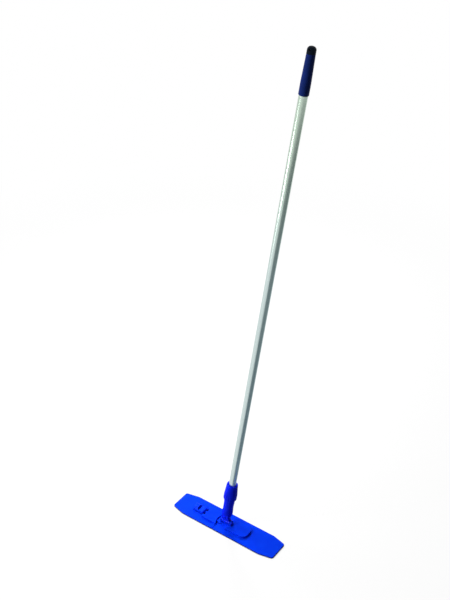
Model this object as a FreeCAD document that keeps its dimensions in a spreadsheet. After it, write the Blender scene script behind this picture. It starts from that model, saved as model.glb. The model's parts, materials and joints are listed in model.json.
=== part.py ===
"""Folding flat mop with a long aluminium handle.

The frame's right wing carries the universal joint of the handle, and the left wing folds down
about a hinge rod beside that joint. Two magnets in the left wing hold the frame flat against
steel discs under the tail of the joint bracket, and a foot pedal prises them apart.

Axes: X along the frame (the left wing at negative X), Y from front to back, Z up.
Origin: centre of the frame's underside, on the floor. Millimetres.
"""
import FreeCAD, Part
import math
import os
import re
import Sketcher

DOC = FreeCAD.newDocument("FlatMop")
SHEET = DOC.addObject("Spreadsheet::Sheet", "Sizes")

# name: (millimetres or degrees, what it is)
SIZES = {
    # frame
    "head_length": (400, "overall length of the frame"),
    "head_width": (92, "overall width of the frame"),
    "end_taper": (47, "length of the tapered stretch at each end"),
    "end_inset": (10.5, "how far each side comes in over the taper"),
    "corner_round": (7, "radius of the end corners in plan"),
    "shoulder_round": (25, "radius where the taper starts"),
    "plate_height": (5, "height of the frame's edge"),
    "skin": (2, "thickness of the top skin"),
    "rim_wall": (2, "thickness of the walls round the edge"),
    "rib_wall": (1.6, "thickness of the ribs below"),
    "rib_pitch": (34, "distance between the cross ribs"),
    "rib_row": (23, "distance of the outer long ribs from the middle"),
    "edge_round": (1.2, "rounding of the top edges"),
    # fold hinge
    "fold_line": (31, "distance of the hinge rod left of the middle"),
    "knuckle_radius": (2.5, "outer radius of the hinge knuckles"),
    "rod_radius": (1.25, "radius of the hinge rod"),
    "fit_gap": (0.05, "radial clearance of a pin in its bore"),
    "split_gap": (1.8, "slot between the two wings"),
    "setback": (7, "distance of the end walls from the hinge rod"),
    "knuckle_width": (5.4, "width of one side knuckle"),
    "middle_knuckle": (18, "width of the middle knuckle"),
    "side_gap": (0.3, "side clearance between neighbouring pieces"),
    # raised bar
    "bar_width": (52, "width of the raised bar"),
    "bar_height": (6.5, "height of the raised bar above the plate"),
    "bar_wall": (2, "wall of the raised bar"),
    "spine_start": (91, "distance of the spine's far end left of the middle"),
    "notch_depth": (6, "depth of the notch in the spine's far end"),
    "tail_gap": (1.2, "gap between the bracket's tail and the spine"),
    # joint bracket
    "joint_left": (4.5, "distance of the joint left of the middle"),
    "bracket_end": (84, "distance of the bracket's round end right of the middle"),
    "bracket_round": (18, "radius of the bracket's round end corners"),
    "platform_start": (6.5, "where the platform's high part starts"),
    "notch_radius": (18, "radius of the notches that clear the handle"),
    "notch_side": (28, "distance of the notch centres from the middle line"),
    "notch_left": (11, "distance of the notch centres left of the middle"),
    "floor_height": (2.5, "thickness of the bracket's low floor"),
    "tail_width": (24, "width of the tail over the left wing"),
    "tail_round": (4, "radius of the tail's corners"),
    "ear_spacing": (33, "distance between the ears' inner faces"),
    "ear_width": (5, "thickness of one ear"),
    "ear_radius": (8, "radius of an ear round the tilt pin"),
    "ear_flare": (1.5, "how far an ear widens on each side toward its foot"),
    "tilt_height": (17.5, "height of the tilt pin above the floor"),
    "pin_radius": (3, "radius of the two joint pins"),
    "pin_head_radius": (5, "radius of the joint pins' heads"),
    "pin_head": (2, "thickness of a joint pin's head or clip"),
    "washer": (0.8, "thickness of a friction washer"),
    "washer_radius": (7, "outer radius of a friction washer"),
    # joint
    "barrel_radius": (8.5, "radius of the barrel round the tilt pin"),
    "pin_offset": (24, "distance of the swing pin above the tilt pin"),
    "tongue_width": (20, "width of the tongue"),
    "tongue_foot": (27, "width of the tongue at the barrel"),
    "tongue_depth": (12, "thickness of the tongue"),
    "tongue_neck": (16.8, "height above the tilt pin where the tongue is at its width"),
    "back_angle": (2.606, "angle at which the handle leans back"),
    "side_angle": (7.087, "angle at which the handle leans to the right"),
    # socket and collar, heights from the swing pin along the handle
    "socket_radius": (18, "outer radius of the handle socket"),
    "socket_waist": (16.8, "radius of the socket's waist"),
    "fork_round": (12.5, "radius of the fork's lower end"),
    "fork_shoulder": (3, "height of the fork's shoulders"),
    "fork_foot_radius": (14.8, "radius of the socket at the fork's shoulders"),
    "fork_taper": (6.5, "height of the taper above the fork's shoulders"),
    "fork_height": (14, "height of the fork's slot"),
    "fork_flat": (13, "distance of the fork's flats from its middle"),
    "socket_floor": (24, "height of the socket's solid floor"),
    "shoulder": (80, "height of the socket's shoulder"),
    "collet_top": (136, "height of the collet's top"),
    "collet_radius": (14.2, "outer radius of the collet"),
    "collet_slot": (2, "width of the collet's slots"),
    "collet_slot_depth": (34, "length of the collet's slots"),
    "pole_gap": (0.1, "radial clearance of the pole in the socket"),
    "thread_ridge": (0.7, "height of the thread's ridges"),
    "thread_pitch": (4.5, "distance between the thread's ridges"),
    "thread_count": (4, "number of the thread's ridges"),
    "collar_gap": (0.3, "clearance inside the clamp collar"),
    "collar_top": (141, "height of the collar's top"),
    "collar_foot_radius": (20.4, "radius of the collar at its foot"),
    "collar_radius": (21.7, "largest radius of the collar"),
    "collar_rim_radius": (18.2, "radius of the collar at its top"),
    "collar_step": (1.5, "height of the chamfer at the collar's foot"),
    "collar_belly": (4, "height of the collar's widest part above the socket's shoulder"),
    "collar_fall": (38, "distance from the collar's widest part up to the collet's top"),
    "flute_start": (6, "height of the flutes above the socket's shoulder"),
    "flute_count": (16, "number of grip flutes round the collar"),
    "flute_radius": (2.2, "radius of the collar's grip flutes"),
    # pole and grip
    "pole_radius": (11.75, "outer radius of the aluminium pole"),
    "pole_wall": (1, "wall of the aluminium pole"),
    "pole_length": (1474, "length of the pole"),
    "plug_length": (18, "length of the plug in the pole"),
    "plug_flange": (2, "thickness of the plug's flange"),
    "grip_overlap": (53, "how far the grip reaches down over the pole"),
    "grip_radius": (13.4, "radius of the grip at its lower end"),
    "grip_top_radius": (11.5, "radius of the grip at its upper end"),
    "grip_length": (102, "length of the grip"),
    "grip_straight": (31, "length of the grip's plain lower stretch"),
    "grip_bore": (8.5, "radius of the grip's bore above the pole"),
    "cap_height": (18, "height of the cap above the grip"),
    "cap_stem": (20, "length of the cap's stem"),
    "cap_round": (9, "rounding of the cap's top"),
    "hang_hole_radius": (3.5, "radius of the hanging hole"),
    "hang_hole_height": (10.5, "height of the hanging hole above the grip"),
    # pedal
    "pedal_start": (95, "distance of the pedal's near end left of the middle"),
    "pedal_length": (38, "length of the foot pad"),
    "pedal_width": (28, "width of the foot pad"),
    "pedal_top": (20, "height of the foot pad's raised end above the floor"),
    "pedal_block": (15, "length of the foot pad's raised end"),
    "pedal_low": (14, "height of the foot pad's low part above the floor"),
    "pedal_dip": (1.5, "depth of the dip in the foot pad's low part"),
    "pedal_flank": (12, "height where the foot pad's sloping flanks start"),
    "pedal_crown": (11, "width of the foot pad's crown"),
    "pedal_wall": (1.8, "wall of the foot pad"),
    "pedal_round": (2.5, "rounding of the foot pad's edges"),
    "pedal_gap": (2, "gap round the foot pad in the wing"),
    "pedal_pin_left": (80, "distance of the pedal pin left of the middle"),
    "pedal_pin_height": (6.3, "height of the pedal pin"),
    "pedal_pin_radius": (1.5, "radius of the pedal pin"),
    "hub_radius": (2.8, "radius of the pedal's hub"),
    "lever_width": (7.2, "width of the lever"),
    "lever_height": (2.8, "height of the lever's bar"),
    "lever_lift": (2, "height of the lever's bar above the floor"),
    "lever_reach": (3.2, "how far the lever reaches under the tail"),
    "lever_edge": (1, "chamfer of the lever's tip"),
    "lever_slot": (0.6, "side clearance of the lever"),
    "cheek_width": (3, "thickness of the cheeks that hold the pedal pin"),
    # latch
    "magnet_radius": (2, "radius of a magnet or strike"),
    "magnet_height": (1.6, "thickness of a magnet"),
    "strike_height": (1, "thickness of a strike disc"),
    "latch_wall": (0.5, "wall on each side of a magnet or strike"),
    "magnet_side": (7.8, "distance of the magnets from the middle line"),
    "latch_gap": (0.3, "gap between the tail and the left wing"),
    # screws and spring
    "screw_radius": (1.75, "radius of a bracket screw's shank"),
    "screw_head": (3.5, "radius of a bracket screw's head"),
    "screw_head_height": (2.2, "thickness of a bracket screw's head"),
    "screw_recess": (0.5, "depth of the screw heads in the underside"),
    "screw_boss": (4.9, "radius of a screw boss"),
    "screw_first": (25, "distance of the first screws right of the middle"),
    "screw_pitch": (42, "distance between the screws along the bracket"),
    "screw_side": (17, "distance of the screws from the middle line"),
    "spring_left": (60, "distance of the return spring left of the middle"),
    "spring_radius": (2.6, "mean radius of the return spring"),
    "spring_wire": (0.35, "radius of the return spring's wire"),
    "spring_turns": (3, "turns of the return spring"),
    "spring_sides": (6, "sides of the return spring's wire"),
    # cuts
    "past": (1, "how far a cut runs past the material"),
}
for row, (name, (size, meaning)) in enumerate(SIZES.items(), start=1):
    SHEET.set(f"A{row}", meaning)
    SHEET.set(f"B{row}", str(size))
    SHEET.setAlias(f"B{row}", name)
DOC.recompute()


def bound(formula):
    """The formula with every size's name pointing at its cell."""
    return re.sub(r"[a-z_]+", lambda m: f"Sizes.{m[0]}" if m[0] in SIZES else m[0], formula)


def value(formula):
    """The number that a formula of sizes gives."""
    return float(SHEET.evalExpression(bound(formula)))


def bind(thing, **formulas):
    """Ties properties of an object to formulas of sizes."""
    for prop, formula in formulas.items():
        thing.setExpression(prop.replace("__", "."), bound(formula))


# places that several pieces share
BAR_TOP = "plate_height + bar_height"
SLOT_EDGE = "split_gap / 2"
KNUCKLE_EDGE = "middle_knuckle / 2"
KNUCKLE_STEP = "(knuckle_width + side_gap)"
ROD_LENGTH = f"middle_knuckle + 6 * {KNUCKLE_STEP}"
KNUCKLE_CLEAR = "knuckle_radius + side_gap"
EAR_OUTSIDE = "(ear_spacing / 2 + ear_width)"
FORK_SLOT = "(tongue_depth / 2 + washer + side_gap)"
SPINE_CEILING = "(plate_height + bar_height - bar_wall)"
PEDAL_FAR = "(pedal_start + pedal_length)"
MAGNET_LEFT = f"(fold_line + {KNUCKLE_CLEAR} + latch_wall + magnet_radius)"
TAIL_END = f"({MAGNET_LEFT} + magnet_radius + latch_wall)"
WELL_END = f"({TAIL_END} + tail_gap)"
LEVER_TIP = f"({TAIL_END} - lever_reach)"
NOTCH_END = "(spine_start - notch_depth)"
POLE_FOOT = "(socket_floor + side_gap + plug_flange)"
POLE_END = f"({POLE_FOOT} + pole_length)"
GRIP_START = f"({POLE_END} - grip_overlap)"
GRIP_TOP = f"({GRIP_START} + grip_length)"
SCREW_SEAT = "(screw_head_height + screw_recess)"


def new_body(label):
    body = DOC.addObject("PartDesign::Body", label)
    body.Label = label
    return body


def new_sketch(body, plane, lift="0"):
    """A sketch on one of the body's own planes, lifted along the plane's normal."""
    sketch = body.newObject("Sketcher::SketchObject", f"{body.Label}_sketch")
    support = [f for f in body.Origin.OriginFeatures if f.Role == plane][0]
    sketch.AttachmentSupport = [(support, "")]
    sketch.MapMode = "FlatFace"
    sketch.setExpression(".AttachmentOffset.Base.z", bound(lift))
    return sketch


def fix_point(sketch, geometry, position, x, y):
    """Holds a point of the sketch at two formulas of sizes."""
    for kind, formula in (("DistanceX", x), ("DistanceY", y)):
        index = sketch.addConstraint(Sketcher.Constraint(kind, geometry, position, value(formula)))
        sketch.setExpression(f"Constraints[{index}]", bound(formula))


def add_outline(sketch, points):
    """A closed outline of straight lines through points given as formulas."""
    spots = [FreeCAD.Vector(value(x), value(y), 0) for x, y in points]
    first = sketch.GeometryCount
    count = len(points)
    for k in range(count):
        sketch.addGeometry(Part.LineSegment(spots[k], spots[(k + 1) % count]), False)
    for k in range(count):
        after = first + (k + 1) % count
        sketch.addConstraint(Sketcher.Constraint("Coincident", first + k, 2, after, 1))
    for k, (x, y) in enumerate(points):
        fix_point(sketch, first + k, 1, x, y)


def add_box(sketch, left, right, bottom, top):
    add_outline(sketch, [(left, bottom), (right, bottom), (right, top), (left, top)])


def add_circle(sketch, x, y, radius):
    centre = FreeCAD.Vector(value(x), value(y), 0)
    circle = Part.Circle(centre, FreeCAD.Vector(0, 0, 1), value(radius))
    geometry = sketch.addGeometry(circle, False)
    fix_point(sketch, geometry, 3, x, y)
    index = sketch.addConstraint(Sketcher.Constraint("Radius", geometry, value(radius)))
    sketch.setExpression(f"Constraints[{index}]", bound(radius))


def finish(body, feature):
    """Makes a feature the body's last one, computes it and stops if it failed."""
    body.Tip = feature
    DOC.recompute()
    if {"Invalid", "Error", "Touched"} & set(feature.State):
        raise ValueError(f"{feature.Name} did not build: {feature.getStatusString()}")
    return feature


def extrude(kind, body, sketch, length, both_ways, upward):
    feature = body.newObject(f"PartDesign::{kind}", f"{body.Label}_{kind.lower()}")
    feature.Profile = sketch
    feature.setExpression("Length", bound(length))
    if both_ways:
        feature.SideType = "Symmetric"
    elif not upward:
        feature.Reversed = True
    return finish(body, feature)


def pad(body, sketch, length, both_ways=False, upward=True):
    """Adds material along the sketch's normal, or against it."""
    return extrude("Pad", body, sketch, length, both_ways, upward)


def cut(body, sketch, length, both_ways=False, upward=True):
    """Removes material along the sketch's normal, or against it, and makes sure that it did."""
    before = body.Shape.Volume
    feature = extrude("Pocket", body, sketch, length, both_ways, not upward)
    if body.Shape.Volume > before - 1e-3:
        raise ValueError(f"{feature.Name} cuts nothing")
    return feature


def spin(kind, body, points, plane="XZ_Plane"):
    """A full turn of an outline about the sketch's vertical axis."""
    sketch = new_sketch(body, plane)
    add_outline(sketch, points)
    feature = body.newObject(f"PartDesign::{kind}", f"{body.Label}_{kind.lower()}")
    feature.Profile = sketch
    feature.ReferenceAxis = (sketch, ["V_Axis"])
    feature.Angle = 360
    return finish(body, feature)


def around(body, feature, count):
    """Repeats a feature about the body's Z axis."""
    pattern = body.newObject("PartDesign::PolarPattern", f"{body.Label}_ring")
    pattern.Originals = [feature]
    pattern.Axis = ([f for f in body.Origin.OriginFeatures if f.Role == "Z_Axis"][0], [""])
    pattern.Angle = 360
    pattern.Occurrences = count
    return finish(body, pattern)


def round_edges(body, radius, wanted):
    """Fillets the edges whose middle and direction pass the test."""
    base = body.Tip
    names = []
    for k, edge in enumerate(base.Shape.Edges, start=1):
        middle = edge.valueAt((edge.FirstParameter + edge.LastParameter) / 2)
        ends = edge.valueAt(edge.LastParameter) - edge.valueAt(edge.FirstParameter)
        if wanted(middle, ends):
            names.append(f"Edge{k}")
    if not names:
        raise ValueError(f"{body.Label} has no such edge")
    fillet = body.newObject("PartDesign::Fillet", f"{body.Label}_round")
    fillet.Base = (base, names)
    fillet.setExpression("Radius", bound(radius))
    return finish(body, fillet)


def near(a, b, tolerance=0.01):
    return abs(a - b) < tolerance


def is_upright(ends):
    return abs(ends.x) < 1e-6 and abs(ends.y) < 1e-6 and abs(ends.z) > 1e-6


def cylinder(label, radius, height, x="0", y="0", z="0", along=FreeCAD.Vector(0, 0, 1)):
    """A cylinder that starts at x, y, z and runs along a direction."""
    solid = DOC.addObject("Part::Cylinder", label)
    solid.Label = label
    bind(solid, Radius=radius, Height=height)
    solid.Placement.Rotation = FreeCAD.Rotation(FreeCAD.Vector(0, 0, 1), along)
    for axis, formula in (("x", x), ("y", y), ("z", z)):
        solid.setExpression(f".Placement.Base.{axis}", bound(formula))
    return solid


def join(label, kind, solids):
    """One object from several: a Part::MultiFuse, or a Part::Compound of separate solids."""
    whole = DOC.addObject(kind, label)
    whole.Label = label
    if kind == "Part::Compound":
        whole.Links = solids
    else:
        whole.Shapes = solids
    return whole


# ---------------------------------------------------------------- the frame's two wings


def wing_plate(label, side):
    """Edge, tapered end and top skin of one wing, which is on side -1 or +1 of the fold line."""
    body = new_body(label)
    inner = f"-fold_line + {side} * {SLOT_EDGE}"
    end = f"{side} * head_length / 2"
    shoulder = f"{side} * (head_length / 2 - end_taper)"
    tip_side = "head_width / 2 - end_inset"
    half_widths = [(inner, "head_width / 2"), (shoulder, "head_width / 2"), (end, tip_side)]
    front = [(x, f"-({half})") for x, half in half_widths]
    outline = new_sketch(body, "XY_Plane")
    add_outline(outline, front + half_widths[::-1])
    pad(body, outline, "plate_height")
    far = value("head_length / 2")
    near_shoulder = value("head_length / 2 - end_taper")
    round_edges(body, "corner_round", lambda m, e: is_upright(e) and near(abs(m.x), far))
    round_edges(
        body, "shoulder_round", lambda m, e: is_upright(e) and near(abs(m.x), near_shoulder)
    )
    top = value("plate_height")
    slot = value(inner)
    round_edges(body, "edge_round", lambda m, e: near(m.z, top) and not near(m.x, slot))
    return body


def hollow_wing(body, side, start, stop):
    """Opens the wing's underside between two distances from the middle, with its ribs left."""
    wall = new_sketch(body, "XY_Plane")
    inset = "head_width / 2 - rim_wall"
    shoulder = f"{side} * (head_length / 2 - end_taper)"
    tip = "head_width / 2 - end_inset - rim_wall"
    add_outline(
        wall,
        [
            (start, f"-({inset})"),
            (shoulder, f"-({inset})"),
            (stop, f"-({tip})"),
            (stop, tip),
            (shoulder, inset),
            (start, inset),
        ],
    )
    return cut(body, wall, "plate_height - skin")


def cross_ribs(body, side, first):
    """Cross ribs at one pitch from a distance to the wing's end, as high as the hollow."""
    ribs = new_sketch(body, "XY_Plane")
    count = 1 + int(value(f"(head_length / 2 - rim_wall - {first}) / rib_pitch"))
    for k in range(count):
        middle = f"{side} * ({first} + {k} * rib_pitch)"
        add_box(
            ribs,
            f"{middle} - rib_wall / 2",
            f"{middle} + rib_wall / 2",
            "-(head_width / 2 - end_inset - rim_wall)",
            "head_width / 2 - end_inset - rim_wall",
        )
    return pad(body, ribs, "plate_height - skin")


def long_ribs(body, start, stop, rows):
    """Ribs along the wing, as high as the hollow under the skin."""
    ribs = new_sketch(body, "XY_Plane")
    for row in rows:
        add_box(ribs, start, stop, f"{row} - rib_wall / 2", f"{row} + rib_wall / 2")
    return pad(body, ribs, "plate_height - skin")


def relieve_fold(body, side):
    """Clears the space beside the hinge rod, where the other wing turns down."""
    under = new_sketch(body, "XY_Plane")
    add_box(
        under,
        f"-fold_line + {side} * {SLOT_EDGE}",
        f"-fold_line + {side} * setback",
        "-head_width / 2",
        "head_width / 2",
    )
    cut(body, under, "plate_height - skin")
    room = new_sketch(body, "XY_Plane")
    add_box(
        room,
        f"-fold_line + {side} * {SLOT_EDGE}",
        f"-fold_line + {side} * ({KNUCKLE_CLEAR})",
        f"-({ROD_LENGTH}) / 2 - side_gap",
        f"({ROD_LENGTH}) / 2 + side_gap",
    )
    cut(body, room, "plate_height")


def knuckle(body, side, start, width):
    """One hinge knuckle with its arm, from y = start over a width."""
    top = f"{start} + {width}"
    profile = new_sketch(body, "XZ_Plane", f"-({top})")
    add_circle(profile, "-fold_line", "knuckle_radius", "knuckle_radius")
    pad(body, profile, width)
    arm = new_sketch(body, "XZ_Plane", f"-({top})")
    add_box(
        arm,
        f"-fold_line + {side} * (rod_radius + knuckle_radius) / 2",
        f"-fold_line + {side} * (setback + rim_wall / 2)",
        "0",
        "plate_height",
    )
    pad(body, arm, width)


def rod_bore(body):
    bore = new_sketch(body, "XZ_Plane")
    add_circle(bore, "-fold_line", "knuckle_radius", "rod_radius + fit_gap")
    cut(body, bore, f"{ROD_LENGTH} + past", both_ways=True)


def right_wing():
    """The wing under the handle, with its knuckles and the bosses for the bracket's screws."""
    body = wing_plate("right_wing", 1)
    inside = "-fold_line + setback + rim_wall"
    hollow_wing(body, 1, inside, "head_length / 2 - rim_wall")
    long_ribs(body, inside, "head_length / 2 - rim_wall", ("-rib_row", "0", "rib_row"))
    cross_ribs(body, 1, "0")
    relieve_fold(body, 1)
    knuckle(body, 1, f"-{KNUCKLE_EDGE}", "middle_knuckle")
    outer = f"{KNUCKLE_EDGE} + {KNUCKLE_STEP} + side_gap"
    knuckle(body, 1, outer, "knuckle_width")
    knuckle(body, 1, f"-({outer} + knuckle_width)", "knuckle_width")
    rod_bore(body)
    bosses = new_sketch(body, "XY_Plane")
    seats = new_sketch(body, "XY_Plane")
    holes = new_sketch(body, "XY_Plane")
    for x, y in screw_places():
        add_circle(bosses, x, y, "screw_boss")
        add_circle(seats, x, y, "screw_head + side_gap")
        add_circle(holes, x, y, "screw_radius + side_gap / 2")
    pad(body, bosses, "plate_height - skin / 2")
    cut(body, seats, SCREW_SEAT)
    cut(body, holes, "plate_height")
    return body


def screw_places():
    """Where the four bracket screws stand."""
    rows = ("screw_first", "screw_first + screw_pitch")
    return [(x, y) for x in rows for y in ("-screw_side", "screw_side")]


def left_wing():
    """The folding wing: spine, well, opening for the pedal, cheeks, knuckles, magnet seats."""
    body = wing_plate("left_wing", -1)
    spine = new_sketch(body, "XY_Plane", "plate_height")
    add_box(spine, "-spine_start", f"-fold_line - {SLOT_EDGE}", "-bar_width / 2", "bar_width / 2")
    pad(body, spine, "bar_height")
    well = new_sketch(body, "XY_Plane", "plate_height")
    add_circle(well, "-joint_left", "0", f"{WELL_END} - joint_left")
    cut(body, well, "bar_height + past")
    top = value(BAR_TOP)
    side = value("bar_width / 2")
    far = -value("spine_start")
    round_edges(
        body, "edge_round * 2", lambda m, e: is_upright(e) and near(m.x, far) and near(abs(m.y), side)
    )
    round_edges(body, "edge_round", lambda m, e: near(m.z, top))
    hollow_wing(body, -1, "-spine_start - rim_wall", "-head_length / 2 + rim_wall")
    hollow = new_sketch(body, "XY_Plane")
    start = "-spine_start + bar_wall"
    main_start = f"-{NOTCH_END} + bar_wall"
    stop = f"-{WELL_END} - bar_wall"
    half = "(pedal_width / 2 + pedal_gap / 2)"
    corners = [
        (stop, "bar_width / 2 - bar_wall"),
        (start, "bar_width / 2 - bar_wall"),
        (start, f"{half} + bar_wall"),
        (main_start, f"{half} + bar_wall"),
    ]
    add_outline(hollow, corners + [(x, f"-({y})") for x, y in corners[::-1]])
    cut(body, hollow, SPINE_CEILING)
    for sign in (-1, 1):
        strip = new_sketch(body, "XY_Plane")
        add_box(
            strip,
            start,
            "-fold_line - setback - rim_wall",
            f"{sign} * (bar_width / 2 + rib_wall)",
            f"{sign} * (head_width / 2 - rim_wall)",
        )
        cut(body, strip, "plate_height - skin")
    cross_ribs(body, -1, f"({PEDAL_FAR} + pedal_gap * 2 + rim_wall)")
    opening_rim = new_sketch(body, "XY_Plane")
    reach = f"-{PEDAL_FAR} - pedal_gap"
    add_box(opening_rim, f"{reach} - rim_wall", start, f"-{half} - rim_wall", f"{half} + rim_wall")
    pad(body, opening_rim, "plate_height - skin / 2")
    opening = new_sketch(body, "XY_Plane")
    add_box(opening, reach, f"-{NOTCH_END}", f"-{half}", half)
    cut(body, opening, f"{BAR_TOP} + past")
    guide = "lever_width / 2 + lever_slot"
    cheek_foot = "(pedal_pin_height - hub_radius - side_gap)"
    cheeks = new_sketch(body, "XY_Plane", cheek_foot)
    for sign in (-1, 1):
        add_box(
            cheeks,
            main_start,
            "-pedal_pin_left + hub_radius + rim_wall / 2",
            f"{sign} * ({guide})",
            f"{sign} * ({guide} + cheek_width)",
        )
    pad(body, cheeks, f"{SPINE_CEILING} - {cheek_foot}")
    way = new_sketch(body, "XY_Plane")
    add_box(way, f"-{NOTCH_END} - past", f"{main_start} + bar_wall / 2", f"-({guide})", guide)
    cut(body, way, f"{SPINE_CEILING} - side_gap")
    slot = new_sketch(body, "XY_Plane")
    add_box(slot, f"{stop} - past", f"-fold_line - ({KNUCKLE_CLEAR})", f"-({guide})", guide)
    cut(body, slot, f"{SPINE_CEILING} - bar_wall / 2")
    relieve_fold(body, -1)
    for start_y in (f"{KNUCKLE_EDGE} + side_gap", f"{KNUCKLE_EDGE} + 2 * {KNUCKLE_STEP} + side_gap"):
        knuckle(body, -1, start_y, "knuckle_width")
        knuckle(body, -1, f"-({start_y} + knuckle_width)", "knuckle_width")
    rod_bore(body)
    pin = new_sketch(body, "XZ_Plane")
    add_circle(pin, "-pedal_pin_left", "pedal_pin_height", "pedal_pin_radius + fit_gap")
    cut(body, pin, f"2 * ({guide} + cheek_width) + past", both_ways=True)
    seats = new_sketch(body, "XY_Plane", "plate_height")
    for sign in (-1, 1):
        add_circle(seats, f"-{MAGNET_LEFT}", f"{sign} * magnet_side", "magnet_radius + fit_gap")
    cut(body, seats, "magnet_height", upward=False)
    return body


def hinge_rod():
    """The steel rod through the knuckles."""
    return cylinder(
        "hinge_rod",
        "rod_radius",
        ROD_LENGTH,
        x="-fold_line",
        y=f"({ROD_LENGTH}) / 2",
        z="knuckle_radius",
        along=FreeCAD.Vector(0, -1, 0),
    )


# ---------------------------------------------------------------- bracket of the joint


def joint_bracket():
    """Platform, ears and tail on the right wing, hollow from below, notched for the handle."""
    body = new_body("joint_bracket")
    floor = new_sketch(body, "XY_Plane", "plate_height")
    add_box(floor, f"-joint_left - {EAR_OUTSIDE}", "platform_start", "-bar_width / 2", "bar_width / 2")
    pad(body, floor, "floor_height")
    high = new_sketch(body, "XY_Plane", "plate_height")
    add_box(high, "platform_start", "bracket_end", "-bar_width / 2", "bar_width / 2")
    pad(body, high, "bar_height")
    hollow = new_sketch(body, "XY_Plane", "plate_height")
    add_box(
        hollow,
        f"-joint_left + {EAR_OUTSIDE} + bar_wall",
        "bracket_end - bar_wall",
        "-bar_width / 2 + bar_wall",
        "bar_width / 2 - bar_wall",
    )
    cut(body, hollow, "bar_height - bar_wall")
    hollow_end = value("bracket_end - bar_wall")
    round_edges(
        body, "bracket_round - bar_wall", lambda m, e: is_upright(e) and near(m.x, hollow_end)
    )
    end = value("bracket_end")
    round_edges(body, "bracket_round", lambda m, e: is_upright(e) and near(m.x, end))
    notches = new_sketch(body, "XY_Plane", "plate_height")
    for sign in (-1, 1):
        add_circle(notches, "-notch_left", f"{sign} * notch_side", "notch_radius")
    cut(body, notches, "bar_height")
    top = value(BAR_TOP)
    round_edges(body, "edge_round", lambda m, e: near(m.z, top))
    ears = new_sketch(body, "YZ_Plane", f"-joint_left - {EAR_OUTSIDE}")
    add_circle(ears, "0", "tilt_height", "ear_radius")
    pad(body, ears, f"2 * {EAR_OUTSIDE}")
    webs = new_sketch(body, "YZ_Plane", f"-joint_left - {EAR_OUTSIDE}")
    add_outline(
        webs,
        [
            ("-ear_radius - ear_flare", "plate_height"),
            ("ear_radius + ear_flare", "plate_height"),
            ("ear_radius", "tilt_height"),
            ("-ear_radius", "tilt_height"),
        ],
    )
    pad(body, webs, f"2 * {EAR_OUTSIDE}")
    trough = new_sketch(body, "XZ_Plane")
    add_box(
        trough,
        "-joint_left - ear_spacing / 2",
        "-joint_left + ear_spacing / 2",
        "plate_height + floor_height",
        "tilt_height + ear_radius + past",
    )
    cut(body, trough, "2 * (ear_radius + ear_flare + past)", both_ways=True)
    tail = new_sketch(body, "XY_Plane", "plate_height + latch_gap")
    add_box(
        tail,
        f"-{TAIL_END}",
        f"-joint_left - {EAR_OUTSIDE} + ear_width / 2",
        "-tail_width / 2",
        "tail_width / 2",
    )
    pad(body, tail, "floor_height - latch_gap")
    tail_end = -value(TAIL_END)
    round_edges(body, "tail_round", lambda m, e: is_upright(e) and near(m.x, tail_end))
    strikes = new_sketch(body, "XY_Plane", "plate_height + latch_gap")
    for sign in (-1, 1):
        add_circle(strikes, f"-{MAGNET_LEFT}", f"{sign} * magnet_side", "magnet_radius + fit_gap")
    cut(body, strikes, "strike_height")
    bosses = new_sketch(body, "XY_Plane", "plate_height")
    holes = new_sketch(body, "XY_Plane", "plate_height")
    for x, y in screw_places():
        add_circle(bosses, x, y, "screw_boss")
        add_circle(holes, x, y, "screw_radius + fit_gap")
    pad(body, bosses, "bar_height - bar_wall / 2")
    cut(body, holes, "bar_height - bar_wall")
    bore = new_sketch(body, "YZ_Plane", f"-joint_left - {EAR_OUTSIDE} - past")
    add_circle(bore, "0", "tilt_height", "pin_radius + fit_gap")
    cut(body, bore, f"2 * ({EAR_OUTSIDE} + past)")
    return body


def disc_pair(label, height, bottom):
    """Two discs at the places of the latch's magnets."""
    discs = [
        cylinder(f"{label}_{k}", "magnet_radius", height, f"-{MAGNET_LEFT}", f"{sign} * magnet_side", bottom)
        for k, sign in enumerate((-1, 1))
    ]
    return join(label, "Part::Compound", discs)


def bracket_screws():
    """Four pan-head screws from below, through the right wing into the bracket's bosses."""
    screws = []
    for k, (x, y) in enumerate(screw_places()):
        head = cylinder(f"screw_head_{k}", "screw_head", "screw_head_height", x, y, "screw_recess")
        shank_length = f"{BAR_TOP} - bar_wall - {SCREW_SEAT} - side_gap"
        shank = cylinder(f"screw_shank_{k}", "screw_radius", shank_length, x, y, SCREW_SEAT)
        screws.append(join(f"screw_{k}", "Part::MultiFuse", [head, shank]))
    return join("bracket_screws", "Part::Compound", screws)


# ---------------------------------------------------------------- turned pieces of the joint


def tilt_frame():
    """Where the barrel is: on the tilt pin, leaning back."""
    centre = FreeCAD.Vector(-value("joint_left"), 0, value("tilt_height"))
    return FreeCAD.Placement(centre, FreeCAD.Rotation(FreeCAD.Vector(1, 0, 0), -value("back_angle")))


def handle_frame():
    """Where the handle is: on the swing pin, leaning back and to the right."""
    lift = FreeCAD.Vector(0, 0, value("pin_offset"))
    lean = FreeCAD.Rotation(FreeCAD.Vector(0, 1, 0), value("side_angle"))
    return tilt_frame().multiply(FreeCAD.Placement(lift, lean))


def turned(frame, direction, start):
    """A frame whose Z runs along a direction of another frame, from a distance before its origin."""
    rotation = FreeCAD.Rotation(FreeCAD.Vector(0, 0, 1), direction)
    return frame.multiply(FreeCAD.Placement(direction * start, rotation))


def joint_pin(label, grip, placement):
    """A pin with a domed head below z = 0, a shank over the grip and a short end beyond it."""
    body = new_body(label)
    spin(
        "Revolution",
        body,
        [
            ("0", "-pin_head"),
            ("pin_head_radius - pin_head / 2", "-pin_head"),
            ("pin_head_radius", "-pin_head / 2"),
            ("pin_head_radius", "0"),
            ("pin_radius", "0"),
            ("pin_radius", f"{grip} + pin_head / 2"),
            ("0", f"{grip} + pin_head / 2"),
        ],
    )
    body.Placement = placement
    return body


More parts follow.
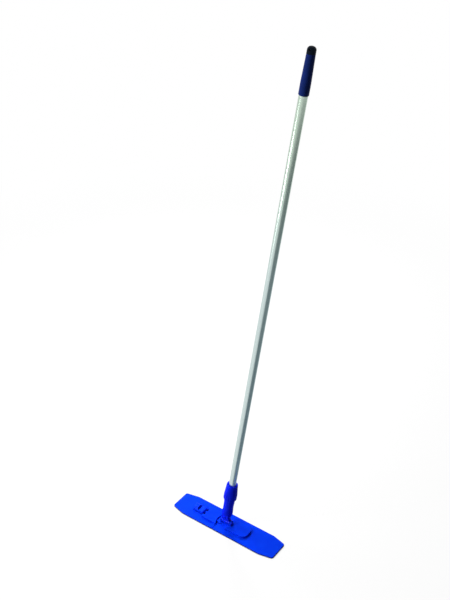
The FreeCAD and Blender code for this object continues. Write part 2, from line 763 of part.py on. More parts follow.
def pin_clip(label, placement):
    """A domed push-on clip over the end of a joint pin."""
    body = new_body(label)
    bore = "pin_radius + fit_gap"
    spin(
        "Revolution",
        body,
        [
            (bore, "0"),
            ("pin_head_radius", "0"),
            ("pin_head_radius", "pin_head / 2"),
            ("pin_head_radius - pin_head / 2", "pin_head"),
            ("0", "pin_head"),
            ("0", "pin_head / 2 + side_gap"),
            (bore, "pin_head / 2 + side_gap"),
        ],
    )
    body.Placement = placement
    return body


def washer_pair(label, inner_face, placement):
    """Two friction washers, one just inside each of two faces."""
    body = new_body(label)
    body.AllowCompound = True
    sketch = new_sketch(body, "XZ_Plane")
    outer = f"{inner_face} - side_gap / 2"
    for low, high in ((f"{outer} - washer", outer), (f"-({outer})", f"-({outer}) + washer")):
        add_box(sketch, "pin_radius + fit_gap", "washer_radius", low, high)
    rings = body.newObject("PartDesign::Revolution", f"{label}_rings")
    rings.Profile = sketch
    rings.ReferenceAxis = (sketch, ["V_Axis"])
    rings.Angle = 360
    finish(body, rings)
    body.Placement = placement
    return body


def joint_knuckle():
    """The middle piece of the universal joint: barrel on the tilt pin, tongue for the swing pin."""
    body = new_body("joint_knuckle")
    barrel = new_sketch(body, "YZ_Plane")
    add_circle(barrel, "0", "0", "barrel_radius")
    pad(body, barrel, "ear_spacing - 2 * washer - 2 * side_gap", both_ways=True)
    rim = value("ear_spacing / 2 - washer - side_gap")
    round_edges(body, "edge_round / 2", lambda m, e: near(abs(m.x), rim))
    tongue = new_sketch(body, "XZ_Plane")
    add_outline(
        tongue,
        [
            ("-tongue_foot / 2", "0"),
            ("tongue_foot / 2", "0"),
            ("tongue_foot / 2", "barrel_radius / 2"),
            ("tongue_width / 2", "tongue_neck"),
            ("tongue_width / 2", "pin_offset"),
            ("-tongue_width / 2", "pin_offset"),
            ("-tongue_width / 2", "tongue_neck"),
            ("-tongue_foot / 2", "barrel_radius / 2"),
        ],
    )
    pad(body, tongue, "tongue_depth", both_ways=True)
    eye = new_sketch(body, "XZ_Plane")
    add_circle(eye, "0", "pin_offset", "tongue_width / 2")
    pad(body, eye, "tongue_depth", both_ways=True)
    swing_bore = new_sketch(body, "XZ_Plane")
    add_circle(swing_bore, "0", "pin_offset", "pin_radius + fit_gap")
    cut(body, swing_bore, "tongue_depth + past", both_ways=True)
    tilt_bore = new_sketch(body, "YZ_Plane")
    add_circle(tilt_bore, "0", "0", "pin_radius + fit_gap")
    cut(body, tilt_bore, "ear_spacing", both_ways=True)
    body.Placement = tilt_frame()
    return body


# ---------------------------------------------------------------- handle


def handle_socket():
    """Fork, waisted body, thread and slotted collet of the handle socket, in one moulding."""
    body = new_body("handle_socket")
    bore = "pole_radius + pole_gap"
    outside = [
        ("0", "fork_shoulder"),
        ("fork_foot_radius", "fork_shoulder"),
        ("socket_radius", "fork_shoulder + fork_taper"),
        ("socket_radius", "fork_height + 2 * edge_round"),
        ("socket_waist", "socket_floor + fork_height"),
        ("socket_waist", "shoulder - 2 * fork_height"),
        ("socket_radius", "shoulder - edge_round * 2"),
        ("socket_radius", "shoulder"),
        ("collet_radius", "shoulder"),
    ]
    for k in range(int(value("thread_count"))):
        foot = f"shoulder + {k + 1} * thread_pitch"
        outside += [
            ("collet_radius", foot),
            ("collet_radius + thread_ridge", f"{foot} + thread_ridge"),
            ("collet_radius + thread_ridge", f"{foot} + 2 * thread_ridge"),
            ("collet_radius", f"{foot} + 3 * thread_ridge"),
        ]
    inside = [
        ("collet_radius", "collet_top - edge_round"),
        ("collet_radius - edge_round", "collet_top"),
        (bore, "collet_top"),
        (bore, "socket_floor"),
        ("0", "socket_floor"),
    ]
    spin("Revolution", body, outside + inside)
    eye = new_sketch(body, "XZ_Plane")
    add_circle(eye, "0", "0", "fork_round")
    pad(body, eye, "2 * fork_flat", both_ways=True)
    slot = new_sketch(body, "YZ_Plane")
    add_box(slot, f"-{FORK_SLOT}", FORK_SLOT, "-fork_round - past", "fork_height")
    through = "2 * (socket_radius + past)"
    cut(body, slot, through, both_ways=True)
    for sign in (-1, 1):
        flat = new_sketch(body, "YZ_Plane")
        near_side = f"{sign} * fork_flat"
        add_box(flat, near_side, f"{near_side} + {sign} * socket_radius", "0", "fork_height")
        cut(body, flat, through, both_ways=True)
    pin_bore = new_sketch(body, "XZ_Plane")
    add_circle(pin_bore, "0", "0", "pin_radius + fit_gap")
    cut(body, pin_bore, through, both_ways=True)
    slot_foot = "collet_top - collet_slot_depth"
    for plane in ("YZ_Plane", "XZ_Plane"):
        collet = new_sketch(body, plane)
        add_box(collet, "-collet_slot / 2", "collet_slot / 2", slot_foot, "collet_top + past")
        cut(body, collet, through, both_ways=True)
    body.Placement = handle_frame()
    return body


def clamp_collar():
    """The ring that turns on the socket's thread and closes the collet on the pole."""
    body = new_body("clamp_collar")
    wide = "collet_radius + thread_ridge + collar_gap"
    tight = "collet_radius + collar_gap"
    foot = "shoulder + collar_gap"
    lip = "collet_top + collar_gap"
    spin(
        "Revolution",
        body,
        [
            (wide, foot),
            ("collar_foot_radius", foot),
            ("collar_foot_radius + edge_round", f"{foot} + collar_step"),
            ("collar_radius", "shoulder + collar_belly"),
            ("collar_radius", "collet_top - collar_fall"),
            ("collar_rim_radius + edge_round", "collet_top - collar_fall / 4"),
            ("collar_rim_radius", "collar_top - edge_round"),
            ("collar_rim_radius - edge_round", "collar_top"),
            ("pole_radius + edge_round", "collar_top"),
            ("pole_radius + collar_gap", "collar_top - edge_round"),
            ("pole_radius + collar_gap", lip),
            (tight, lip),
            (tight, "shoulder + (thread_count + 2) * thread_pitch"),
            (wide, "shoulder + (thread_count + 2) * thread_pitch - 2 * thread_ridge"),
        ],
    )
    flute = new_sketch(body, "XY_Plane", "shoulder + flute_start")
    add_circle(flute, "collar_radius + flute_radius / 2", "0", "flute_radius")
    first_flute = cut(body, flute, "collet_top - shoulder - flute_start + past")
    around(body, first_flute, int(value("flute_count")))
    body.Placement = handle_frame()
    return body


def pole_tube():
    """The plain aluminium tube."""
    body = new_body("pole_tube")
    spin(
        "Revolution",
        body,
        [
            ("pole_radius - pole_wall", POLE_FOOT),
            ("pole_radius", POLE_FOOT),
            ("pole_radius", POLE_END),
            ("pole_radius - pole_wall", POLE_END),
        ],
    )
    body.Placement = handle_frame()
    return body


def pole_plug():
    """The plug that closes the pole's lower end."""
    body = new_body("pole_plug")
    stem = "pole_radius - pole_wall - fit_gap"
    spin(
        "Revolution",
        body,
        [
            ("0", f"{POLE_FOOT} - plug_flange"),
            ("pole_radius - edge_round", f"{POLE_FOOT} - plug_flange"),
            ("pole_radius", POLE_FOOT),
            (stem, POLE_FOOT),
            (stem, f"{POLE_FOOT} + plug_length"),
            ("grip_bore", f"{POLE_FOOT} + plug_length"),
            ("grip_bore", f"{POLE_FOOT} + plug_flange"),
            ("0", f"{POLE_FOOT} + plug_flange"),
        ],
    )
    body.Placement = handle_frame()
    return body


def grip_sleeve():
    """The tapered grip over the pole's upper end."""
    body = new_body("grip_sleeve")
    seat = "pole_radius + fit_gap"
    inner_step = f"{POLE_END} + side_gap"
    spin(
        "Revolution",
        body,
        [
            (seat, GRIP_START),
            ("grip_radius - edge_round", GRIP_START),
            ("grip_radius", f"{GRIP_START} + edge_round"),
            ("grip_radius", f"{GRIP_START} + grip_straight"),
            ("grip_top_radius", f"{GRIP_TOP} - edge_round"),
            ("grip_top_radius", GRIP_TOP),
            ("grip_bore", GRIP_TOP),
            ("grip_bore", inner_step),
            (seat, inner_step),
        ],
    )
    body.Placement = handle_frame()
    return body


def hanging_cap():
    """The domed end cap with its hanging hole, on a stem in the grip's bore."""
    body = new_body("end_cap")
    stem = "grip_bore - fit_gap"
    spin(
        "Revolution",
        body,
        [
            ("0", f"{GRIP_TOP} - cap_stem"),
            (f"{stem} - edge_round", f"{GRIP_TOP} - cap_stem"),
            (stem, f"{GRIP_TOP} - cap_stem + edge_round"),
            (stem, GRIP_TOP),
            ("grip_top_radius", GRIP_TOP),
            ("grip_top_radius", f"{GRIP_TOP} + cap_height"),
            ("0", f"{GRIP_TOP} + cap_height"),
        ],
    )
    top = value(f"{GRIP_TOP} + cap_height")
    round_edges(body, "cap_round", lambda m, e: near(m.z, top))
    hole = new_sketch(body, "XZ_Plane")
    add_circle(hole, "0", f"{GRIP_TOP} + hang_hole_height", "hang_hole_radius")
    cut(body, hole, "2 * grip_top_radius + past", both_ways=True)
    body.Placement = handle_frame()
    return body


# ---------------------------------------------------------------- pedal


def foot_pedal():
    """Foot pad with a raised end, open below, with its hub and the lever that reaches the tail."""
    body = new_body("foot_pedal")
    pad_foot = "(plate_height - side_gap)"
    block = new_sketch(body, "YZ_Plane", f"-{PEDAL_FAR}")
    add_outline(
        block,
        [
            ("-pedal_width / 2", pad_foot),
            ("pedal_width / 2", pad_foot),
            ("pedal_width / 2", "pedal_flank"),
            ("pedal_crown / 2", "pedal_top"),
            ("-pedal_crown / 2", "pedal_top"),
            ("-pedal_width / 2", "pedal_flank"),
        ],
    )
    pad(body, block, "pedal_length")
    flank = value("pedal_flank")
    far = -value(PEDAL_FAR)
    round_edges(body, "pedal_round", lambda m, e: m.z > flank - 0.01 and near(e.y, 0) and near(e.z, 0))
    round_edges(
        body,
        "pedal_round",
        lambda m, e: near(m.x, far) and not near(m.z, value(pad_foot)),
    )
    step = f"-{PEDAL_FAR} + pedal_block"
    low = new_sketch(body, "XZ_Plane")
    add_outline(
        low,
        [
            (step, "pedal_top + past"),
            (f"{step} + pedal_round", "pedal_low - pedal_dip"),
            ("-pedal_start - pedal_round", "pedal_low"),
            ("-pedal_start", "pedal_low - edge_round"),
            ("-pedal_start + past", "pedal_low - edge_round"),
            ("-pedal_start + past", "pedal_top + past"),
        ],
    )
    cut(body, low, "pedal_width + past", both_ways=True)
    inside = new_sketch(body, "XY_Plane", pad_foot)
    inner_far = f"-{PEDAL_FAR} + pedal_wall"
    half = "pedal_width / 2 - pedal_wall"
    add_box(inside, inner_far, "-pedal_start - pedal_wall", f"-({half})", half)
    cut(body, inside, f"pedal_flank - 2 * pedal_wall - {pad_foot}")
    crown = new_sketch(body, "XY_Plane", pad_foot)
    narrow = "pedal_crown / 2 - pedal_wall / 2"
    add_box(crown, f"{inner_far} + pedal_round", f"{step} - pedal_wall", f"-({narrow})", narrow)
    cut(body, crown, f"pedal_top - pedal_wall - {pad_foot}")
    lever = new_sketch(body, "XZ_Plane")
    lever_top = "lever_lift + lever_height"
    add_outline(
        lever,
        [
            ("-pedal_start - pedal_wall / 2", "pedal_pin_height - hub_radius + lever_edge"),
            ("-pedal_pin_left - hub_radius", "pedal_pin_height - hub_radius + lever_edge / 2"),
            ("-pedal_pin_left + 3 * hub_radius", "lever_lift"),
            (f"-{LEVER_TIP} - lever_edge", "lever_lift"),
            (f"-{LEVER_TIP}", "lever_lift + lever_edge"),
            (f"-{LEVER_TIP}", lever_top),
            ("-pedal_pin_left + 4 * hub_radius", lever_top),
            ("-pedal_pin_left + lever_edge", "pedal_pin_height + hub_radius - lever_edge / 2"),
            ("-pedal_start - pedal_wall / 2", "pedal_pin_height + hub_radius - lever_edge / 2"),
        ],
    )
    pad(body, lever, "lever_width", both_ways=True)
    hub = new_sketch(body, "XZ_Plane")
    add_circle(hub, "-pedal_pin_left", "pedal_pin_height", "hub_radius")
    pad(body, hub, "lever_width", both_ways=True)
    bore = new_sketch(body, "XZ_Plane")
    add_circle(bore, "-pedal_pin_left", "pedal_pin_height", "pedal_pin_radius + fit_gap")
    cut(body, bore, "lever_width + past", both_ways=True)
    return body


def pedal_pin():
    """The steel pin through the pedal's hub and the two cheeks."""
    length = "(lever_width + 2 * lever_slot + 2 * cheek_width)"
    return cylinder(
        "pedal_pin",
        "pedal_pin_radius",
        length,
        x="-pedal_pin_left",
        y=f"{length} / 2",
        z="pedal_pin_height",
        along=FreeCAD.Vector(0, -1, 0),
    )


def return_spring():
    """The coil between the lever and the spine's ceiling that brings the pedal back up."""
    wire = value("spring_wire")
    low = value("lever_lift + lever_height") + wire + value("fit_gap")
    high = value(SPINE_CEILING) - wire - value("fit_gap")
    radius = value("spring_radius")
    path = Part.makeHelix((high - low) / value("spring_turns"), high - low, radius)
    section = Part.Circle(FreeCAD.Vector(radius, 0, 0), FreeCAD.Vector(0, 1, 0), wire).toShape()
    ring = Part.makePolygon(section.discretize(round(value("spring_sides")) + 1))
    coil = Part.Wire(path.Edges).makePipeShell([ring], True, True)
    spring = DOC.addObject("Part::Feature", "return_spring")
    spring.Label = "return_spring"
    spring.Shape = coil
    spring.Placement = FreeCAD.Placement(
        FreeCAD.Vector(-value("spring_left"), 0, low), FreeCAD.Rotation()
    )
    return spring


# ---------------------------------------------------------------- the whole mop

X_AXIS = FreeCAD.Vector(1, 0, 0)
Y_AXIS = FreeCAD.Vector(0, 1, 0)
BRACKET = FreeCAD.Placement(
    FreeCAD.Vector(-value("joint_left"), 0, value("tilt_height")), FreeCAD.Rotation()
)
EAR_FACE = value(EAR_OUTSIDE)
FORK_FACE = value("fork_flat")

SUB_PARTS = [
    right_wing(),
    hinge_rod(),
    joint_bracket(),
    bracket_screws(),
    disc_pair("latch_strikes", "strike_height", "plate_height + latch_gap"),
    joint_pin("tilt_pin", f"2 * {EAR_OUTSIDE}", turned(BRACKET, X_AXIS, -EAR_FACE)),
    pin_clip("tilt_clip", turned(BRACKET, X_AXIS, EAR_FACE)),
    washer_pair("tilt_washers", "ear_spacing / 2", turned(BRACKET, X_AXIS, 0)),
    left_wing(),
    disc_pair("latch_magnets", "magnet_height", "plate_height - magnet_height"),
    pedal_pin(),
    return_spring(),
    foot_pedal(),
    joint_knuckle(),
    washer_pair("swing_washers", FORK_SLOT, turned(handle_frame(), Y_AXIS, 0)),
    joint_pin("swing_pin", "2 * fork_flat", turned(handle_frame(), Y_AXIS, -FORK_FACE)),
    pin_clip("swing_clip", turned(handle_frame(), Y_AXIS, FORK_FACE)),
    handle_socket(),
    clamp_collar(),
    pole_tube(),
    pole_plug(),
    grip_sleeve(),
    hanging_cap(),
]
DOC.recompute()

for thing in DOC.Objects:
    if {"Invalid", "Error"} & set(thing.State):
        raise ValueError(f"{thing.Label} did not build: {thing.State}")
for sub_part in SUB_PARTS:
    if sub_part.Shape.isNull() or not sub_part.Shape.isValid():
        raise ValueError(f"{sub_part.Label} has no valid shape")

os.makedirs("parts", exist_ok=True)
for sub_part in SUB_PARTS:
    sub_part.Shape.exportStep(f"parts/{sub_part.Label}.step")
    print(sub_part.Label, len(sub_part.Shape.Solids), round(sub_part.Shape.Volume, 1))
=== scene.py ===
"""Looks of the folding flat mop: its finishes, its fine moulded details, the studio and the view.

Metres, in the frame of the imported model: X along the mop's frame, Y to its back, Z up.
"""
import json
import logging
import math
from dataclasses import dataclass, field
from enum import Enum
from typing import Sequence

import bmesh
import bpy
from mathutils import Matrix, Vector


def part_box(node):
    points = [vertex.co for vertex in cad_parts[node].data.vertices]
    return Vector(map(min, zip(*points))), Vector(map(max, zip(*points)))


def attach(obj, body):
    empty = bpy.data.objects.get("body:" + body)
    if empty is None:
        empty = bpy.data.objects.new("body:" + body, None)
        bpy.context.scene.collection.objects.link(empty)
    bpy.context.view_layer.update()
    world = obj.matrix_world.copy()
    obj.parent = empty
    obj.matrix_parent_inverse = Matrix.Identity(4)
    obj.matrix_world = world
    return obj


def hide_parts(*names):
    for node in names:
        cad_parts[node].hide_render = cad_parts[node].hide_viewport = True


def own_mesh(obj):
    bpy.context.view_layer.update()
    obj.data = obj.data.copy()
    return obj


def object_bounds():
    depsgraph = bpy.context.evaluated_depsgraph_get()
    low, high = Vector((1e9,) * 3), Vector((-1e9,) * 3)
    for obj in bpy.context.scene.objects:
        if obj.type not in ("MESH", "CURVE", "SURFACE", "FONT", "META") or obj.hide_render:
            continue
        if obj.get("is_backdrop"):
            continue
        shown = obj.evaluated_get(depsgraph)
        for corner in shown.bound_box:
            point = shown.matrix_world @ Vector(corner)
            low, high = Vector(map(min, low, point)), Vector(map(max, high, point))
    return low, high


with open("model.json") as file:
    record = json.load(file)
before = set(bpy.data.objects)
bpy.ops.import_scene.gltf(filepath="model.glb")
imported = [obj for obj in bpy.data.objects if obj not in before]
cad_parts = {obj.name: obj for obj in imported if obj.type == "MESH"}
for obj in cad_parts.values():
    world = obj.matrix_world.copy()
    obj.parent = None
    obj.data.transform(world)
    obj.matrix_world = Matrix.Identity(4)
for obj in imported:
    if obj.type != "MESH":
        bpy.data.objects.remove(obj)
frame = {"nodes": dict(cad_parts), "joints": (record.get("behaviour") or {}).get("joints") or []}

LOG = logging.getLogger("flat_mop")
MILLIMETRE = 0.001

# Nearly all the values of a fractal noise lie between these two.
NOISE_LOW = 0.3
NOISE_HIGH = 0.7

Colour = tuple[float, float, float]
Socket = bpy.types.NodeSocket
Shape = bmesh.types.BMesh


def packed_joint(name: str) -> dict:
    """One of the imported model's joints.

    Args:
        name: the joint's name in the record.

    Returns:
        What the frame says about it.
    """
    return next(joint for joint in frame["joints"] if joint["name"] == name)


def joint_axis(name: str) -> Vector:
    """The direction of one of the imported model's joints.

    Args:
        name: the joint's name in the record.

    Returns:
        The unit vector along its axis, at rest.
    """
    return Vector(packed_joint(name)["axis"]).normalized()


def joint_place(name: str) -> Vector:
    """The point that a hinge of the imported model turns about.

    Args:
        name: the joint's name in the record.

    Returns:
        The point, at rest, in metres.
    """
    return Vector(packed_joint(name)["pos_m"])


def frame_along(origin: Vector, direction: Vector) -> Matrix:
    """A frame at a point whose Z runs along a direction.

    Args:
        origin: where the frame stands.
        direction: where its Z points.

    Returns:
        The matrix from that frame to the model's frame.
    """
    turn = direction.to_track_quat("Z", "Y")
    return Matrix.Translation(origin) @ turn.to_matrix().to_4x4()


def direction_to(azimuth: float, elevation: float = 0.0) -> Vector:
    """The direction from the mop to something that stands round it.

    Args:
        azimuth: the angle round the mop in degrees, from its front towards +X.
        elevation: the angle above the floor in degrees.

    Returns:
        The unit vector.
    """
    across, rise = math.radians(azimuth), math.radians(elevation)
    level = math.cos(rise)
    return Vector((math.sin(across) * level, -math.cos(across) * level, math.sin(rise)))


def object_from(shape: Shape, name: str, material: bpy.types.Material) -> bpy.types.Object:
    """Turns a finished bmesh into an object of the scene.

    Args:
        shape: the bmesh, which is freed.
        name: the object's name.
        material: its finish.

    Returns:
        The object, at the origin with its place in its mesh.
    """
    # The mesh tools leave faces in an order that differs from run to run, so they are sorted by
    # their first edge, which no two faces share in the same direction.
    shape.verts.index_update()
    count = len(shape.verts)
    shape.faces.sort(key=lambda face: face.verts[0].index * count + face.verts[1].index)
    mesh = bpy.data.meshes.new(name)
    shape.to_mesh(mesh)
    shape.free()
    mesh.materials.append(material)
    thing = bpy.data.objects.new(name, mesh)
    bpy.context.collection.objects.link(thing)
    return thing


# ---------------------------------------------------------------- finishes


class Pattern(Enum):
    """How the tiny relief of a surface runs."""

    GRAIN = "grain"
    STIPPLE = "stipple"
    BRUSHED = "brushed"


class Graph:
    """A node tree under construction."""

    def __init__(self, tree: bpy.types.NodeTree) -> None:
        """Empties a node tree.

        Args:
            tree: the tree to build in.
        """
        self.tree = tree
        self.tree.nodes.clear()

    def feed(self, socket: Socket, value: object) -> None:
        """Links an input to what feeds it, or sets its value.

        Args:
            socket: the input.
            value: an output of another node, or a plain value.
        """
        if isinstance(value, Socket):
            self.tree.links.new(value, socket)
        else:
            socket.default_value = value

    def fill(self, node: bpy.types.Node, **values: object) -> None:
        """Feeds a node's inputs.

        Args:
            node: the node.
            values: input names, with _ for a space, and what they hold or are fed by.
        """
        for name, value in values.items():
            self.feed(node.inputs[name.replace("_", " ")], value)

    def node(self, kind: str, **values: object) -> bpy.types.Node:
        """Adds a node and feeds its inputs.

        Args:
            kind: the node's type.
            values: input names, with _ for a space, and what they hold or are fed by.

        Returns:
            The new node.
        """
        node = self.tree.nodes.new(kind)
        self.fill(node, **values)
        return node

    def math(self, operation: str, first: Socket | float, second: Socket | float = 0.0) -> Socket:
        """A sum, product or the like of two values.

        Args:
            operation: the Math node's operation.
            first: its first value.
            second: its second value.

        Returns:
            The socket with the result.
        """
        node = self.node("ShaderNodeMath")
        node.operation = operation
        for socket, value in zip(node.inputs, (first, second)):
            self.feed(socket, value)
        return node.outputs[0]

    def seen(self) -> Socket:
        """Tells what is looked at from what only gives light.

        Returns:
            The socket that is 1 for camera, glossy and transmitted rays and 0 for the others.
        """
        rays = self.node("ShaderNodeLightPath").outputs
        both = self.math("MAXIMUM", rays["Is Camera Ray"], rays["Is Glossy Ray"])
        return self.math("MAXIMUM", both, rays["Is Transmission Ray"])


class Recipe(Graph):
    """A material under construction: its node tree and the shader that everything feeds."""

    def __init__(self, name: str) -> None:
        """Starts an empty material.

        Args:
            name: the material's name.
        """
        self.material = bpy.data.materials.new(name)
        self.material.use_nodes = True
        super().__init__(self.material.node_tree)
        self.output = self.node("ShaderNodeOutputMaterial")
        self.shader = self.node("ShaderNodeBsdfPrincipled")
        self.feed(self.output.inputs["Surface"], self.shader.outputs[0])
        self.place = self.node("ShaderNodeTexCoord").outputs["Object"]

    def set(self, **values: object) -> None:
        """Feeds the shader's own inputs.

        Args:
            values: input names, with _ for a space, and what they hold or are fed by.
        """
        self.fill(self.shader, **values)

    def vector_math(self, operation: str) -> bpy.types.Node:
        """Adds a vector operation on the object coordinates.

        Args:
            operation: the Vector Math node's operation.

        Returns:
            The new node.
        """
        node = self.node("ShaderNodeVectorMath", Vector=self.place)
        node.operation = operation
        return node

    def reach(self) -> Socket:
        """Measures how far a point is from the object's origin.

        Returns:
            The socket with the distance in metres.
        """
        return self.vector_math("LENGTH").outputs["Value"]

    def height(self) -> Socket:
        """Measures how high a point is.

        Returns:
            The socket with the height in metres.
        """
        return self.node("ShaderNodeSeparateXYZ", Vector=self.place).outputs["Z"]

    def stretched(self, turn: Matrix, scale: Sequence[float]) -> Socket:
        """Object coordinates turned into another frame and scaled there.

        Args:
            turn: a rotation whose columns are the frame's axes.
            scale: how much each of its axes is scaled.

        Returns:
            The socket with the new coordinates.
        """
        mapping = self.node(
            "ShaderNodeMapping", Vector=self.place, Rotation=turn.transposed().to_euler()
        )
        stretch = self.node("ShaderNodeVectorMath", Vector=mapping.outputs[0])
        stretch.operation = "MULTIPLY"
        stretch.inputs[1].default_value = scale
        return stretch.outputs[0]

    def noise(self, scale: float, detail: float = 3.0, place: Socket | None = None) -> Socket:
        """Fractal noise.

        Args:
            scale: cells per metre.
            detail: how many finer layers it has.
            place: the coordinates it reads, or the object's own.

        Returns:
            The socket with its value, about 0.5 in the middle.
        """
        node = self.node(
            "ShaderNodeTexNoise", Vector=place or self.place, Scale=scale, Detail=detail
        )
        return node.outputs["Fac"]

    def ramp(
        self,
        value: Socket,
        start: float,
        end: float,
        low: float,
        high: float,
        shape: str = "SMOOTHSTEP",
    ) -> Socket:
        """Maps a value from one range to another.

        Args:
            value: what is mapped.
            start: where it gives low.
            end: where it gives high.
            low: the first result.
            high: the last result.
            shape: the interpolation between them.

        Returns:
            The socket with the mapped value.
        """
        node = self.node(
            "ShaderNodeMapRange", Value=value, From_Min=start, From_Max=end, To_Min=low, To_Max=high
        )
        node.interpolation_type = shape
        return node.outputs["Result"]

    def between(self, noise: Socket, low: float = 0.0, high: float = 1.0) -> Socket:
        """Maps the middle part of a noise evenly to a range.

        Args:
            noise: the noise.
            low: what its low values give.
            high: what its high values give.

        Returns:
            The socket with the mapped value.
        """
        return self.ramp(noise, NOISE_LOW, NOISE_HIGH, low, high, shape="LINEAR")

    def worn(self, noise: Socket, roughness: float, polish: float, wear: float) -> Socket:
        """Spreads a roughness over a noise.

        Args:
            noise: the noise.
            roughness: the plain roughness.
            polish: how much smoother its low values are.
            wear: how much rougher its high values are.

        Returns:
            The socket with the roughness.
        """
        return self.between(noise, roughness - polish, roughness + wear)

    def blend(self, amount: Socket, low: Socket | Colour, high: Socket | Colour) -> Socket:
        """Blends two colours by a value.

        Args:
            amount: 0 for the first colour, 1 for the second.
            low: the first colour.
            high: the second colour.

        Returns:
            The socket with the colour.
        """
        node = self.node("ShaderNodeMix", Factor=amount)
        node.data_type = "RGBA"
        ends = [socket for socket in node.inputs if socket.type == "RGBA"]
        for socket, colour in zip(ends, (low, high)):
            self.feed(socket, colour if isinstance(colour, Socket) else (*colour, 1.0))
        return next(socket for socket in node.outputs if socket.type == "RGBA")

    def relief(self, height: Socket, depth: float, strength: float = 1.0) -> None:
        """Adds a relief to what the shader's normal has so far.

        Args:
            height: the relief's height, 0 to 1.
            depth: its full depth in metres.
            strength: how much of it shows.
        """
        bump = self.node("ShaderNodeBump", Height=height, Distance=depth, Strength=strength)
        normal = self.shader.inputs["Normal"]
        if normal.is_linked:
            self.feed(bump.inputs["Normal"], normal.links[0].from_socket)
        self.feed(normal, bump.outputs[0])


@dataclass(frozen=True)
class MouldedPlastic:
    """Injection-moulded plastic with a fine die texture, flow shades and light scuffs.

    The rim, which is what stands less than its rim height above the floor, is painted darker in
    patches, as shade on its side walls. The seam is the fine line that the two halves of the
    mould leave along the handle.
    """

    name: str
    colour: Colour
    deep: Colour
    roughness: float
    grain: float
    depth: float
    gloss: float = 0.5
    pattern: Pattern = Pattern.GRAIN
    brushing: tuple[float, float, float] = (90.0, 2400.0, 900.0)
    # The colour of the painted shade on the rim near the floor, or None for none.
    painted_rim_shade: Colour | None = None
    rim_shade_height: float = 4.8 * MILLIMETRE
    rim_shade_full: float = 0.4
    rim_shade_patches: float = 260.0
    rim_shade_least: float = 0.7
    seam: bool = False
    seam_top: float = 0.06 * MILLIMETRE
    seam_foot: float = 0.22 * MILLIMETRE
    seam_depth: float = 0.08 * MILLIMETRE
    flow: float = 35.0
    scuffs: float = 900.0
    polish: float = 0.05
    wear: float = 0.07
    waves: float = 60.0
    wave_share: float = 4.0
    refraction: float = 1.49

    def paint_rim_shade(self, recipe: Recipe, colour: Socket) -> Socket:
        """Paints shade on the rim near the floor, whose side walls lie in shade, broken into
        patches.

        Args:
            recipe: the material under construction.
            colour: the colour of the plastic without the painted shade.

        Returns:
            The socket with the colour, darker at the rim.
        """
        full = self.rim_shade_full * self.rim_shade_height
        near_floor = recipe.ramp(recipe.height(), full, self.rim_shade_height, 1.0, 0.0)
        patches = recipe.between(recipe.noise(self.rim_shade_patches, detail=4.0), self.rim_shade_least)
        return recipe.blend(recipe.math("MULTIPLY", near_floor, patches), colour, self.painted_rim_shade)

    def part_line(self, recipe: Recipe) -> None:
        """Adds the fine raised line where the mould's halves met, on both sides of the handle.

        Args:
            recipe: the material under construction.
        """
        across = joint_axis("handle_tilt").cross(joint_axis("pole_slide")).normalized()
        offset = recipe.vector_math("DOT_PRODUCT")
        offset.inputs[1].default_value = across
        middle = across.dot(joint_place("handle_swing"))
        beside = recipe.math("ABSOLUTE", recipe.math("SUBTRACT", offset.outputs["Value"], middle))
        recipe.relief(recipe.ramp(beside, self.seam_top, self.seam_foot, 1.0, 0.0), self.seam_depth)

    def build(self) -> bpy.types.Material:
        """Makes the material.

        Returns:
            The finished material.
        """
        recipe = Recipe(self.name)
        flow = recipe.between(recipe.noise(self.flow, detail=2.0))
        colour = recipe.blend(flow, self.colour, self.deep)
        # Painted shade on the side walls near the floor.
        if self.painted_rim_shade:
            colour = self.paint_rim_shade(recipe, colour)
        scuffs = recipe.noise(self.scuffs, detail=4.0)
        recipe.set(
            Base_Color=colour,
            Roughness=recipe.worn(scuffs, self.roughness, self.polish, self.wear),
            IOR=self.refraction,
            Specular_IOR_Level=self.gloss,
        )
        if self.pattern is Pattern.STIPPLE:
            cells = recipe.node("ShaderNodeTexVoronoi", Vector=recipe.place, Scale=self.grain)
            recipe.relief(cells.outputs["Distance"], self.depth)
        if self.pattern is Pattern.BRUSHED:
            along = recipe.stretched(Matrix.Identity(3), self.brushing)
            recipe.relief(recipe.noise(1.0, place=along), self.depth, strength=0.6)
        recipe.relief(recipe.noise(self.grain, detail=2.0), self.depth)
        waves = recipe.noise(self.waves, detail=1.0)
        recipe.relief(waves, self.wave_share * self.depth, strength=0.5)
        if self.seam:
            self.part_line(recipe)
        return recipe.material


@dataclass(frozen=True)
class DrawnTube:
    """Anodised aluminium, drawn lengthwise, with fine die lines, and duller where hands hold it."""

    name: str
    colour: Colour
    line_colour: Colour
    held_colour: Colour
    roughness: float
    lines: float
    lengthwise: float = 4.0
    line_depth: float = 0.02 * MILLIMETRE
    grain: float = 2500.0
    grain_depth: float = 0.004 * MILLIMETRE
    polish: float = 0.05
    wear: float = 0.08
    held_from: float = 0.9
    held_full: float = 1.4

    def build(self) -> bpy.types.Material:
        """Makes the material.

        Returns:
            The finished material.
        """
        recipe = Recipe(self.name)
        along = frame_along(Vector(), joint_axis("pole_slide")).to_3x3()
        place = recipe.stretched(along, (self.lines, self.lines, self.lengthwise))
        drawn = recipe.noise(1.0, detail=4.0, place=place)
        clean = recipe.blend(recipe.between(drawn), self.colour, self.line_colour)
        held = recipe.ramp(recipe.height(), self.held_from, self.held_full, 0.0, 1.0)
        recipe.set(
            Base_Color=recipe.blend(held, clean, self.held_colour),
            Metallic=1.0,
            Roughness=recipe.worn(drawn, self.roughness, self.polish, self.wear),
        )
        recipe.relief(drawn, self.line_depth, strength=0.5)
        recipe.relief(recipe.noise(self.grain, detail=2.0), self.grain_depth, strength=0.5)
        return recipe.material


